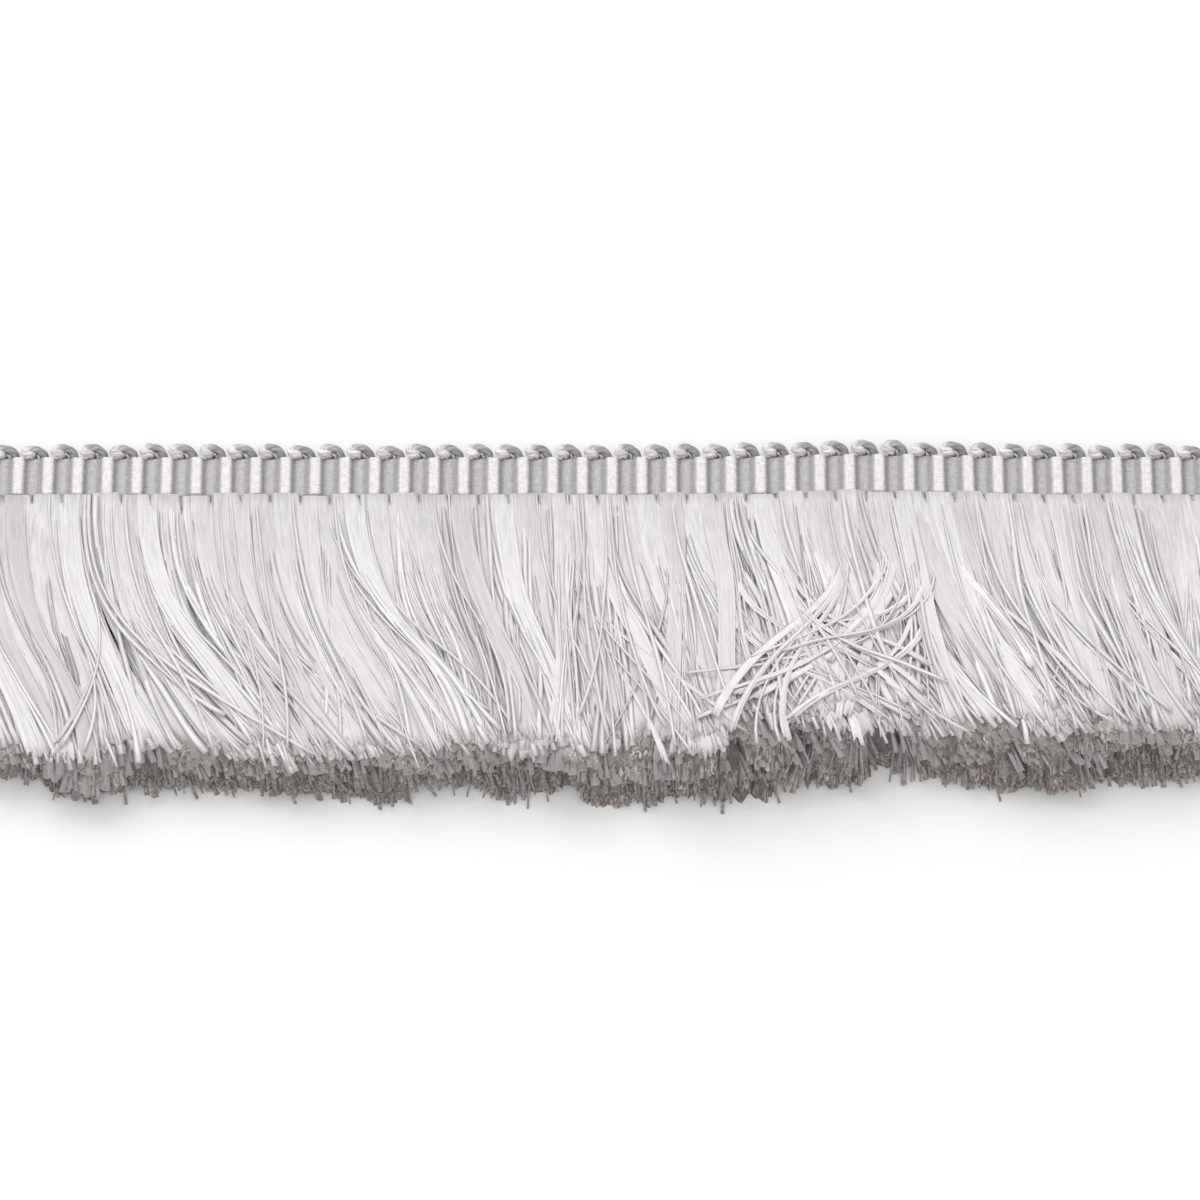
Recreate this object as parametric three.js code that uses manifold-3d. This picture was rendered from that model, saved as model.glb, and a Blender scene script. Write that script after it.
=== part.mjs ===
// A cut length of brush fringe trim, lying on its back with the brush spread out towards -Y.
// Millimetres, +Z up. The origin is the middle of the heading tape's flat back face.
// The heading is a ribbed tape, a twisted cord makes a row of small loops along its upper edge,
// and the brush is a thick skirt of cut strands, built here as locks in four layers.
import * as THREE from "three";
import { mergeVertices } from "three/addons/utils/BufferGeometryUtils.js";
import Module from "manifold-3d";

const wasm = await Module();
wasm.setup();

// Driving dimensions
const ribPitch = 4.2; // one rib of the heading, and one loop of the cord
const ribCount = 44;
const tapeWidth = 6; // across the heading, along Y
const valleyThickness = 1.5; // of the tape between two ribs
const ribHeight = 0.6; // how far a rib's crest stands over a valley
const clearance = 0.3; // between one piece and the next
const cordDiameter = 1.4; // of the twisted loop cord
const cordLevel = 1.2; // height of the cord's middle over the surface
const loopRise = 1.3; // of the cord's middle, from a loop's feet to its top
const loopSlant = 0.25; // how much higher a loop's left side lies than its middle
const stripWidth = 1.9; // of the woven foot that holds the strands, along Y
const stripHeight = 2.05;
const rootHeight = 2.4; // the brush's thickness where it leaves the heading
const strandLength = 44; // a usual strand's reach past the foot

const length = ribPitch * ribCount;
const tapeEdge = tapeWidth / 2;
const brushStart = -tapeEdge - clearance - stripWidth;

const yarnColour = new THREE.Color(0.8, 0.79, 0.775);
const headingColour = new THREE.Color(0.72, 0.705, 0.7);

// One rib of the tape in section: shares of the pitch across it, and of its height.
const ribProfile = [
  { across: 0, rise: 0 },
  { across: 0.24, rise: 0.16 },
  { across: 0.34, rise: 0.86 },
  { across: 0.5, rise: 1 },
  { across: 0.66, rise: 0.86 },
  { across: 0.76, rise: 0.16 },
];

// One loop of the cord: shares of the pitch from its middle, of its rise and of its slant.
const loopProfile = [
  { across: -0.5, rise: 0, slant: 0 },
  { across: -0.36, rise: 0.42, slant: 1 },
  { across: -0.2, rise: 0.88, slant: 0.7 },
  { across: 0, rise: 1, slant: 0 },
  { across: 0.2, rise: 0.88, slant: -0.7 },
  { across: 0.36, rise: 0.42, slant: -1 },
];

// How the brush lies along the trim: x is the place, reach how far the bottom strands come past the
// foot, setback how much shorter the top ones end, height the brush's thickness at its tips, and the
// leans are the strands' directions in degrees from -Y towards +X, from the root to the tip.
const stations = [
  { x: -91, reach: 42.0, setback: 0.6, height: 7.0, lean: [-1, 11, 21, 14] },
  { x: -77, reach: 41.8, setback: 0.2, height: 7.0, lean: [1, 11, 24, 16] },
  { x: -63, reach: 43.7, setback: 0.2, height: 7.0, lean: [2, 13, 22, 16] },
  { x: -49, reach: 43.1, setback: 2.0, height: 7.4, lean: [4, 15, 27, 26] },
  { x: -35, reach: 43.6, setback: 1.0, height: 7.0, lean: [6, 12, 23, 22] },
  { x: -21, reach: 44.0, setback: 2.4, height: 8.4, lean: [4, 14, 26, 18] },
  { x: -7, reach: 43.3, setback: 2.4, height: 8.4, lean: [7, 8, 17, 13] },
  { x: 7, reach: 44.6, setback: 2.6, height: 8.8, lean: [5, 8, 12, 8] },
  { x: 21, reach: 43.9, setback: 3.9, height: 12.0, lean: [3, 15, 12, 13] },
  { x: 35, reach: 41.7, setback: 5.2, height: 12.0, lean: [4, 14, 12, 20] },
  { x: 49, reach: 40.7, setback: 2.4, height: 8.4, lean: [10, 16, 20, 24] },
  { x: 63, reach: 42.1, setback: 3.5, height: 11.6, lean: [8, 11, 22, 22] },
  { x: 77, reach: 41.4, setback: 3.2, height: 10.8, lean: [10, 12, 19, 19] },
  { x: 91, reach: 41.6, setback: 2.6, height: 8.8, lean: [8, 10, 14, 14] },
];
const leanAt = [0, 0.3, 0.6, 0.9]; // shares of a strand's reach that the four leans are for

// The brush's layers from the back to the front: how many locks lie side by side, how much of the
// stations' lean they take, and how far past the foot their cross-sections are.
const layers = [
  { across: 50, leanShare: 0.5, bends: [3, 24] },
  { across: 60, leanShare: 0.65, bends: [24] },
  { across: 66, leanShare: 0.85, bends: [8, 24] },
  { across: 88, leanShare: 1, bends: [4, 14, 28] },
];
// Shares of a lock's room side by side, of its layer's height, and of its foot's width on top.
const lockShare = { width: 0.74, widthSpread: 0.18, height: 0.72, heightSpread: 0.14, crown: 0.6 };
const rootSink = 0.25; // height of the bottom locks' undersides inside the foot
const rootSinkShare = 0.6; // share of their height that the other locks' undersides keep there
const tipUnevenness = 1.2; // how much longer or shorter than its place a lock may be
const tuftPitch = 12.6; // locks draw together into tufts of three ribs
const tuftGather = 0.55; // how far they draw together at the tips

// A repeatable number from 0 to 1 for each seed.
function uneven(seed) {
  const wave = Math.sin(seed * 12.9898 + 4.1) * 43758.5453;
  return wave - Math.floor(wave);
}

// The two stations on either side of x, and how far x lies from the first to the second.
function stationsAt(x) {
  const step = stations[1].x - stations[0].x;
  const place = THREE.MathUtils.clamp((x - stations[0].x) / step, 0, stations.length - 1.001);
  const row = Math.floor(place);
  return { here: stations[row], next: stations[row + 1], share: place - row };
}

function stationValue(x, column) {
  const { here, next, share } = stationsAt(x);
  return THREE.MathUtils.lerp(here[column], next[column], THREE.MathUtils.smoothstep(share, 0, 1));
}

// The lean in radians of the strand rooted at x, at a share of its reach.
function leanOf(x, along) {
  const { here, next, share } = stationsAt(x);
  const knot = Math.min(leanAt.findLastIndex((start) => start <= along), leanAt.length - 2);
  const part = Math.min((along - leanAt[knot]) / (leanAt[knot + 1] - leanAt[knot]), 1);
  const [first, second] = [here, next].map((station) =>
    THREE.MathUtils.lerp(station.lean[knot], station.lean[knot + 1], part),
  );
  return THREE.MathUtils.degToRad(THREE.MathUtils.lerp(first, second, share));
}

// Where the strand rooted at x has come to, sideways, when it is `down` past the foot.
function strandPlace(x, down, leanShare) {
  const steps = 8;
  const stride = Math.max(down, 0) / steps;
  let place = x;
  for (let i = 0; i < steps; i += 1) {
    const along = ((i + 0.5) * stride) / strandLength;
    place += Math.tan(leanOf(x, along) * leanShare) * stride;
  }
  const gather = tuftGather * (Math.max(down, 0) / strandLength);
  return place - gather * Math.sin((2 * Math.PI * x) / tuftPitch);
}

// The brush's thickness over the surface that it lies on: it grows from the foot to the tips.
function brushHeight(x, down) {
  const along = THREE.MathUtils.clamp(down / strandLength, 0, 1);
  return THREE.MathUtils.lerp(rootHeight, stationValue(x, "height"), along ** 0.8);
}

function materialOf(colour, roughness) {
  return new THREE.MeshStandardMaterial({ color: colour, roughness, metalness: 0 });
}

// A closed mesh as a manifold solid, from its places alone.
function solidOf(geometry) {
  const bare = geometry.clone();
  bare.deleteAttribute("normal");
  bare.deleteAttribute("uv");
  const merged = mergeVertices(bare, 1e-4);
  return new wasm.Manifold(
    new wasm.Mesh({
      numProp: 3,
      vertProperties: new Float32Array(merged.attributes.position.array),
      triVerts: new Uint32Array(merged.index.array),
    }),
  );
}

// A manifold solid as a geometry again.
function geometryOf(solid) {
  const mesh = solid.getMesh();
  const geometry = new THREE.BufferGeometry();
  const places = new Float32Array(mesh.numVert * 3);
  for (let i = 0; i < mesh.numVert; i += 1) {
    const from = i * mesh.numProp;
    places.set(mesh.vertProperties.subarray(from, from + 3), i * 3);
  }
  geometry.setAttribute("position", new THREE.BufferAttribute(places, 3));
  geometry.setIndex(new THREE.BufferAttribute(new Uint32Array(mesh.triVerts), 1));
  geometry.computeVertexNormals();
  return geometry;
}

// A closed solid through a row of rings, each a list of points in the same order.
function loft(rings) {
  const sides = rings[0].length;
  const places = rings.flat().flatMap((point) => point.toArray());
  const faces = [];
  for (let ring = 0; ring < rings.length - 1; ring += 1) {
    for (let side = 0; side < sides; side += 1) {
      const a = ring * sides + side;
      const b = ring * sides + ((side + 1) % sides);
      faces.push(a, b, b + sides, a, b + sides, a + sides);
    }
  }
  const last = (rings.length - 1) * sides;
  for (let side = 1; side < sides - 1; side += 1) {
    faces.push(0, side + 1, side);
    faces.push(last, last + side, last + side + 1);
  }
  const geometry = new THREE.BufferGeometry();
  geometry.setAttribute("position", new THREE.Float32BufferAttribute(places, 3));
  geometry.setIndex(faces);
  return geometry;
}

// The heading tape: a section with a flat back and one rounded rib for each pitch, carried along Y.
function headingTape() {
  const outline = new THREE.Shape();
  outline.moveTo(length / 2, 0);
  outline.lineTo(length / 2, valleyThickness);
  for (let rib = ribCount - 1; rib >= 0; rib -= 1) {
    const start = rib * ribPitch - length / 2;
    for (const point of ribProfile.toReversed()) {
      outline.lineTo(start + point.across * ribPitch, valleyThickness + point.rise * ribHeight);
    }
  }
  outline.lineTo(-length / 2, 0);
  const tape = new THREE.ExtrudeGeometry(outline, { depth: tapeWidth, bevelEnabled: false });
  const mesh = new THREE.Mesh(tape, materialOf(headingColour, 0.55));
  mesh.rotation.x = Math.PI / 2;
  mesh.position.y = tapeEdge;
  mesh.name = "heading_tape";
  return mesh;
}

// One cross-section of the twisted cord. Its plies make it broader one way than the other, and from
// one section to the next they turn by one side, so that the ridges run around it.
function cordRing(centre, slope, turn) {
  const sides = 6;
  const plyDepth = 0.17;
  const outward = new THREE.Vector3(-Math.sin(slope), Math.cos(slope), 0);
  return Array.from({ length: sides }, (_, side) => {
    const around = (2 * Math.PI * side) / sides;
    const ply = 1 + plyDepth * Math.cos(2 * (around - (2 * Math.PI * turn) / sides));
    const radius = ((cordDiameter / 2) * ply) / (1 + plyDepth);
    const point = centre.clone().addScaledVector(outward, radius * Math.cos(around));
    point.z += radius * Math.sin(around);
    return point;
  });
}

// The loop cord: one twisted cord that rises in a small loop over every valley of the tape and
// touches its edge in between. A loop's left side comes to the front and its right side goes back.
function loopCord() {
  const points = [];
  for (let loop = 0; loop < ribCount - 1; loop += 1) {
    const middle = (loop + 1) * ribPitch - length / 2;
    for (const knot of loopProfile) {
      const x = middle + knot.across * ribPitch;
      const y = tapeEdge + clearance + cordDiameter / 2 + knot.rise * loopRise;
      points.push(new THREE.Vector3(x, y, cordLevel + knot.slant * loopSlant));
    }
  }
  const foot = points[0].clone();
  points.push(foot.setX(-foot.x));
  const softened = 0.85;
  const rings = points.map((point, i) => {
    const before = points[Math.max(i - 1, 0)];
    const after = points[Math.min(i + 1, points.length - 1)];
    const atEnd = before === point || after === point;
    const slope = atEnd ? 0 : Math.atan2(after.y - before.y, after.x - before.x) * softened;
    return cordRing(point, slope, i);
  });
  const mesh = new THREE.Mesh(loft(rings), materialOf(headingColour, 0.5));
  mesh.geometry.computeVertexNormals();
  mesh.name = "loop_cord";
  return mesh;
}

// One lock of the brush: four-sided, broader below than on top, from inside the foot to its cut end.
// It follows the lean and the thickness of the brush, and keeps to its own place side by side.
function lock(layer, index) {
  const { across, leanShare, bends } = layers[layer];
  const seed = layer * 101 + index;
  const room = length / across;
  const middle = (index + 0.5) * room - length / 2;
  const ownHalf = (room / 2) * (lockShare.width + lockShare.widthSpread * uneven(seed));
  const top = layer + lockShare.height + lockShare.heightSpread * uneven(seed + 0.3);
  const front = layer === layers.length - 1;
  const root = front ? clearance / 2 - stripWidth : -stripWidth / 2;
  const setback = (stationValue(middle, "setback") * layer) / (layers.length - 1);
  const longer = (uneven(seed + 0.6) * 2 - 1) * tipUnevenness;
  const end = stationValue(middle, "reach") - setback + longer;
  const rings = [root, ...bends, end].map((down) => {
    const left = strandPlace(middle - ownHalf, down, leanShare);
    const right = strandPlace(middle + ownHalf, down, leanShare);
    const centre = (left + right) / 2;
    const half = Math.min((right - left) / 2, ownHalf);
    const corner = (side, level) => {
      const x = centre + side * half;
      const z = (brushHeight(x, down) * level) / layers.length;
      const sunk = down === root && level === layer;
      return new THREE.Vector3(x, brushStart - down, sunk ? rootSink + z * rootSinkShare : z);
    };
    const crown = lockShare.crown;
    return [corner(-1, layer), corner(1, layer), corner(crown, top), corner(-crown, top)];
  });
  return solidOf(loft(rings));
}

// The brush: the narrow woven foot of the skirt, parted from the tape's lower edge, and its locks.
function brush() {
  const foot = new THREE.BoxGeometry(length, stripWidth, stripHeight);
  foot.translate(0, brushStart + stripWidth / 2, stripHeight / 2);
  const solids = [solidOf(foot)];
  layers.forEach(({ across }, layer) => {
    for (let index = 0; index < across; index += 1) {
      solids.push(lock(layer, index));
    }
  });
  const mesh = new THREE.Mesh(geometryOf(wasm.Manifold.union(solids)), materialOf(yarnColour, 0.45));
  mesh.name = "brush";
  return mesh;
}

const trim = new THREE.Group();
trim.add(headingTape(), loopCord(), brush());

export default trim;
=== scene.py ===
import math

import bpy
import numpy as np
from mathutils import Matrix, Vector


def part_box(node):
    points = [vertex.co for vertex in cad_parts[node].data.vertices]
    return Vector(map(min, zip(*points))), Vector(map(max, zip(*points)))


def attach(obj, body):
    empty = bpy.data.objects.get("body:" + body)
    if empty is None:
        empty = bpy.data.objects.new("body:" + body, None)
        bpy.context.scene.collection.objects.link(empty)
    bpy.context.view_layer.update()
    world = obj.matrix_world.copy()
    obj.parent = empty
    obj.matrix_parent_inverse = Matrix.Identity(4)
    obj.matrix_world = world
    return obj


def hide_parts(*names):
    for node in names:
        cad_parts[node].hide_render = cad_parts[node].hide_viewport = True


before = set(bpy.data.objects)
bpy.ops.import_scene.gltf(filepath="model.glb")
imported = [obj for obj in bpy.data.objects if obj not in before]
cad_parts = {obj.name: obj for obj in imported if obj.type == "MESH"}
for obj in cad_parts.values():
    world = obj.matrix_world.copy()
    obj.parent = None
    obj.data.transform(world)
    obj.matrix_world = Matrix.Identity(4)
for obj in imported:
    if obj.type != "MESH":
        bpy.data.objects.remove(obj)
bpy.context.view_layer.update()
mm = 0.001
mapName = "OFBake"


# A node's lowest and highest corner in millimetres.
def nodeBox(node):
    low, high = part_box(node)
    return np.array(low) / mm, np.array(high) / mm


tapeLow, tapeHigh = nodeBox("heading_tape")
trim = {"ribs": 44, "waveHeight": 0.55, "waveAt": 43.0, "waveWidth": 17.0}
pitch = (tapeHigh[0] - tapeLow[0]) / trim["ribs"]


# From 0 to 1 as x goes from 0 to 1, level at both ends: x * x * (3 - 2 * x).
def ease(x):
    x = np.clip(x, 0.0, 1.0)
    return x * x * (3.0 - 2.0 * x)


# How far the trim bows towards its heading at x: one low swell, height * exp(-((x - at) / width)^2).
def bow(x):
    return trim["waveHeight"] * np.exp(-(((x - trim["waveAt"]) / trim["waveWidth"]) ** 2))


# A new object in the scene.
def newObject(name, data):
    thing = bpy.data.objects.new(name, data)
    bpy.context.scene.collection.objects.link(thing)
    return thing


# A mesh piece from whole arrays. quads and triangles hold vertex numbers and their maps a place on the
# map for each corner. smooth says which quads are shaded smooth; the rest, and the ends, are flat.
def meshPiece(name, places, quads, quadMap, triangles, triangleMap, smooth, material):
    corners = np.concatenate([quads.ravel(), triangles.ravel()]).astype(np.int32)
    starts = np.concatenate([np.arange(len(quads)) * 4, len(quads) * 4 + np.arange(len(triangles)) * 3])
    mesh = bpy.data.meshes.new(name)
    mesh.vertices.add(len(places))
    mesh.vertices.foreach_set("co", (places * mm).astype(np.float32).ravel())
    mesh.loops.add(len(corners))
    mesh.loops.foreach_set("vertex_index", corners)
    mesh.polygons.add(len(starts))
    mesh.polygons.foreach_set("loop_start", starts.astype(np.int32))
    mesh.polygons.foreach_set("use_smooth", np.concatenate([smooth, np.zeros(len(triangles), bool)]))
    uv = mesh.uv_layers.new(name=mapName)
    onMap = np.concatenate([quadMap.reshape(-1, 2), triangleMap.reshape(-1, 2)])
    uv.uv.foreach_set("vector", onMap.astype(np.float32).ravel())
    mesh.update(calc_edges=True)
    mesh.materials.append(material)
    piece = newObject(name, mesh)
    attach(piece, "root")
    return piece


# Where a form's parts lie along its row of the map, and the share of the row left free at each side.
rowMap = {"sides": (0.01, 0.965), "root": (0.001, 0.004, 0.007), "tip": (0.975, 0.985, 0.995), "free": 0.1}


# The quads around closed forms of steps rings with ring points, as (forms, steps - 1, ring, 4).
def ringQuads(count, steps, ring):
    start = np.arange(count)[:, None, None] * steps * ring + np.arange(steps - 1)[:, None] * ring
    here, beside = np.arange(ring), (np.arange(ring) + 1) % ring
    return np.stack([start + here, start + ring + here, start + ring + beside, start + beside], -1)


# The fans of triangles that close a form's first and last ring.
def endFans(steps, ring):
    fan = np.arange(1, ring - 1)
    root = np.stack([0 * fan, fan, fan + 1], -1)
    tip = np.stack([0 * fan, fan + 1, fan], -1) + (steps - 1) * ring
    return np.concatenate([root, tip])


# The quads of ringQuads with their map. On it a form is one row: its length goes along u and the way
# around it along v.
def sideQuads(count, steps, ring, rows, rowCount):
    here = np.arange(ring)
    along = np.linspace(*rowMap["sides"], steps)
    u = np.stack([along[:-1], along[1:], along[1:], along[:-1]], -1)[None, :, None, :]
    free = rowMap["free"]
    v = free + (1 - 2 * free) * np.stack([here, here, here + 1, here + 1], -1)[None, None] / ring
    v = (rows[:, None, None, None] + v) / rowCount
    return ringQuads(count, steps, ring), np.stack(np.broadcast_arrays(u, v), -1)


# Closed tubes along many paths at once, as (tubes, steps, 3). Each ring lies across its path:
# centre + radius * (cos(around) * side + flat * sin(around) * up), where side is level and up stands
# on side and on the path. The first corner is turned by this share of a side, and the first
# smoothSides are shaded smooth.
def tubeArrays(paths, radii, sides, turned, smoothSides, flat, rows, rowCount):
    count, steps = paths.shape[:2]
    forward = np.gradient(paths, axis=1)
    forward /= np.linalg.norm(forward, axis=2, keepdims=True)
    side = np.cross(forward, [0.0, 0.0, 1.0])
    side /= np.linalg.norm(side, axis=2, keepdims=True) + 1e-9
    up = np.cross(side, forward)
    around = 2 * np.pi * (np.arange(sides) + turned) / sides
    across = np.cos(around)[:, None] * side[:, :, None] + flat * np.sin(around)[:, None] * up[:, :, None]
    places = paths[:, :, None] + radii[:, :, None, None] * across
    quads, quadMap = sideQuads(count, steps, sides, rows, rowCount)
    triangles = np.arange(count)[:, None, None] * steps * sides + endFans(steps, sides)
    endU = np.repeat([rowMap["root"], rowMap["tip"]], sides - 2, axis=0)
    endV = (rows[:, None, None] + np.array([0.2, 0.8, 0.5])) / rowCount
    triangleMap = np.stack(np.broadcast_arrays(endU[None], endV), -1)
    quads, triangles = quads.reshape(-1, 4), triangles.reshape(-1, 3)
    smooth = np.arange(len(quads)) % sides < smoothSides
    return places.reshape(-1, 3), quads, quadMap, triangles, triangleMap, smooth


# Closed flat bodies from the lines of their upper and under faces, both (bodies, steps, columns, 3).
# The ends are strips of quads from the upper face to the under one.
def bodyArrays(top, under, rows, rowCount):
    count, steps, columns = top.shape[:3]
    ring = 2 * columns
    places = np.concatenate([top, under[:, :, ::-1]], axis=2)
    quads, quadMap = sideQuads(count, steps, ring, rows, rowCount)
    here = np.arange(columns - 1)
    root = np.stack([here, here + 1, ring - 2 - here, ring - 1 - here], -1)
    tip = root[:, ::-1] + (steps - 1) * ring
    ends = np.arange(count)[:, None, None] * steps * ring + np.concatenate([root, tip])
    rootU = [rowMap["root"][k] for k in (0, 0, 2, 2)]
    tipU = [rowMap["tip"][k] for k in (2, 2, 0, 0)]
    endU = np.concatenate([np.tile(rootU, (len(here), 1)), np.tile(tipU, (len(here), 1))])
    rootV = np.stack([here, here + 1, here + 1, here], -1)
    free = rowMap["free"]
    endV = free + (1 - 2 * free) * np.concatenate([rootV, rootV[:, ::-1]]) / ring
    endMap = np.stack(np.broadcast_arrays(endU[None], (rows[:, None, None] + endV) / rowCount), -1)
    allQuads = np.concatenate([quads.reshape(-1, 4), ends.reshape(-1, 4)])
    allMap = np.concatenate([quadMap.reshape(-1, 2), endMap.reshape(-1, 2)])
    smooth = np.arange(len(allQuads)) < count * (steps - 1) * ring
    return places.reshape(-1, 3), allQuads, allMap, np.zeros((0, 3), int), np.zeros((0, 2)), smooth


# The materials are made with these: a node with its settings, a number worked out from one or two
# others, a ramp through colours or greys at given places, colours multiplied, and two colours mixed.
def addNode(tree, kind, **settings):
    node = tree.nodes.new(kind)
    for key, value in settings.items():
        if key in node.inputs:
            node.inputs[key].default_value = value
        else:
            setattr(node, key, value)
    return node


def maths(tree, operation, first, second=None):
    node = tree.nodes.new("ShaderNodeMath")
    node.operation = operation
    for socket, value in zip(node.inputs, (first, second)):
        if isinstance(value, (int, float)):
            socket.default_value = value
        elif value is not None:
            tree.links.new(value, socket)
    return node.outputs[0]


def ramp(tree, factor, stops):
    node = tree.nodes.new("ShaderNodeValToRGB")
    elements = node.color_ramp.elements
    while len(elements) < len(stops):
        elements.new(1.0)
    for element, (at, colour) in zip(elements, stops):
        element.position = at
        element.color = (*colour, 1.0) if isinstance(colour, tuple) else (colour, colour, colour, 1.0)
    tree.links.new(factor, node.inputs[0])
    return node.outputs[0]


def multiply(tree, first, *others):
    for other in others:
        node = addNode(tree, "ShaderNodeMix", data_type="RGBA", blend_type="MULTIPLY")
        node.inputs[0].default_value = 1.0
        tree.links.new(first, node.inputs[6])
        tree.links.new(other, node.inputs[7])
        first = node.outputs[2]
    return first


def mix(tree, factor, first, second):
    node = addNode(tree, "ShaderNodeMix", data_type="RGBA")
    tree.links.new(factor, node.inputs[0])
    for socket, colour in ((node.inputs[6], first), (node.inputs[7], second)):
        if isinstance(colour, tuple):
            socket.default_value = (*colour, 1.0)
        else:
            tree.links.new(colour, socket)
    return node.outputs[2]


# A noise over the map, with this many grains over its length and its height.
def noise(tree, along, around, grains, **settings):
    spot = tree.nodes.new("ShaderNodeCombineXYZ")
    for socket, value, count in zip(spot.inputs, (along, around), grains):
        tree.links.new(maths(tree, "MULTIPLY", value, float(count)), socket)
    node = addNode(tree, "ShaderNodeTexNoise", Scale=1.0, **settings)
    tree.links.new(spot.outputs[0], node.inputs["Vector"])
    return node.outputs["Fac"]


# Fine relief from a height, this strong and this many millimetres high.
def relief(tree, shader, height, strength, high):
    node = addNode(tree, "ShaderNodeBump", Strength=strength, Distance=high * mm)
    tree.links.new(height, node.inputs["Height"])
    tree.links.new(node.outputs["Normal"], shader.inputs["Normal"])


# A material with its finish, and the two directions of the map: along a form and around it.
def newMaterial(name, finish):
    material = bpy.data.materials.new(name)
    material.use_nodes = True
    tree = material.node_tree
    shader = tree.nodes["Principled BSDF"]
    for socket, value in finish.items():
        shader.inputs[socket].default_value = value
    uv = addNode(tree, "ShaderNodeUVMap", uv_map=mapName)
    split = tree.nodes.new("ShaderNodeSeparateXYZ")
    tree.links.new(uv.outputs[0], split.inputs[0])
    return material, tree, shader, split.outputs[0], split.outputs[1]


yarn = {
    "rows": 64,  # shades of strand, from dull to pale
    "front": ((0.62, 0.6, 0.588), (0.73, 0.711, 0.7), (0.85, 0.832, 0.82)),  # dull, usual, pale
    "inner": ((0.64, 0.62, 0.608), (0.73, 0.711, 0.7), (0.82, 0.802, 0.79)),
    "back": ((0.64, 0.62, 0.608), (0.73, 0.711, 0.7), (0.82, 0.802, 0.79)),
    "matted": 0.92,  # painted shade: the matted floss under the loose strands is painted a little duller
    "atRoot": 0.91,  # share of the shade left near the heading: the floss is a little darker there
    "paintedEdgeLight": 1.12,  # painted light: a strand's thin edges are painted paler
    "grain": {  # filaments in a row of the map, their detail, how dark they go, and flecks in a row
        "strands": (12.0, 2.0, 0.78, 1.5),
        "matted": (30.0, 3.0, 0.8, 60.0),
        "ribbons": (8.0, 3.0, 0.76, 8.0),
    },
    "grainAlong": 12.0,
    "streaksGone": 0.4,  # how much the streaks fade where the floss parts into strands
    # where the cut ends' painted shade and brown start and are full, as shares of the length, and their
    # shade: the deeper a layer, the darker its ends are painted, for the shade among them at the cut face
    "strandEndsPaintedShade": {"front": (0.935, 0.966, 0.92), "inner": (0.89, 0.97, 0.9), "back": (0.86, 0.955, 0.68)},
    "mattedEndsPaintedShade": {"front": (0.935, 0.966, 0.92), "inner": (0.87, 0.955, 0.54), "back": (0.84, 0.94, 0.36)},
    "brown": (1.0, 0.85, 0.76),
    "brownness": 1.3,
    "cutShift": 0.15,  # how much the brown starts sooner or later
    "cutShades": (0.5, 2.0),  # the cut ends' darkest and palest share of their painted shade and brown
    "cutContrast": 2.2,  # how fast these come in as the ends darken
    "palestCut": 0.95,
    "flecksAlong": 120.0,
    "patches": (20.0, 8.0),  # larger paler patches over a row's length and its height
    "finish": {"Roughness": 0.48, "Specular IOR Level": 0.35, "Sheen Weight": 0.25, "Sheen Roughness": 0.4},
}


# The strands' floss. Each row of the map is a shade, and fine filaments run along it. Towards the cut
# end it goes darker and browner: shade * brown^(brownness * (1 - shade)), by chance a little sooner or
# later and more or less, in flecks and in larger patches. The darkening is painted shade, for the shade
# among the cut ends, with a brown tint.
def flossMaterial(name, shades, rows, grain, ends):
    material, tree, shader, along, around = newMaterial(name, yarn["finish"])
    fineness, detail, streakShade, flecks = yarn["grain"][grain]
    tipFrom, tipTo, paintedTipShade = ends
    tone = ramp(tree, around, list(zip((0.0, 0.5, 1.0), shades)))
    inRow = maths(tree, "FRACT", maths(tree, "MULTIPLY", around, float(rows)))
    # Painted light: the thin edges of each strand's row are painted paler, for light passing through them.
    edgeLightPainted = ramp(tree, inRow, [(0.1, yarn["paintedEdgeLight"]), (0.18, 1.0), (0.42, 1.0), (0.5, yarn["paintedEdgeLight"])])
    darkerNearHeading = ramp(tree, along, [(0.08, yarn["atRoot"]), (0.4, 1.0)])
    grains = (yarn["grainAlong"], rows * fineness)
    filaments = noise(tree, along, around, grains, Detail=detail, Roughness=0.6)
    streak = ramp(tree, filaments, [(0.35, streakShade), (0.62, 1.0)])
    parted = ramp(tree, along, [(0.15, 0.0), (0.45, yarn["streaksGone"])])
    streak = mix(tree, parted, streak, (1.0, 1.0, 1.0))
    chance = noise(tree, along, around, (yarn["flecksAlong"], rows * flecks), Detail=2.0)
    patchesAlong, patchesAcross = yarn["patches"]
    patches = noise(tree, along, around, (patchesAlong, rows * patchesAcross), Detail=1.0)
    shift = maths(tree, "MULTIPLY", maths(tree, "SUBTRACT", chance, 0.5), yarn["cutShift"])
    toCut = maths(tree, "ADD", along, shift)
    # Painted shade: the cut ends are painted darker and browner, more so in the deeper layers.
    contrast = min(yarn["cutContrast"] * (1 - paintedTipShade), 1.0)
    cuts = []
    for share in yarn["cutShades"]:
        shade = min(paintedTipShade * (1 + (share - 1) * contrast), yarn["palestCut"])
        brown = tuple(shade * c ** (yarn["brownness"] * (1 - shade)) for c in yarn["brown"])
        cuts.append(ramp(tree, toCut, [(0.0, 1.0), (tipFrom, 1.0), (tipTo, brown)]))
    fleck = ramp(tree, chance, [(0.42, 0.0), (0.6, 1.0)])
    paler = ramp(tree, patches, [(0.4, 0.35), (0.6, 1.0)])
    cut = mix(tree, multiply(tree, fleck, paler), *cuts)
    tree.links.new(multiply(tree, tone, edgeLightPainted, darkerNearHeading, streak, cut), shader.inputs["Base Color"])
    relief(tree, shader, filaments, 0.2, 0.05)
    return material


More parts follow.
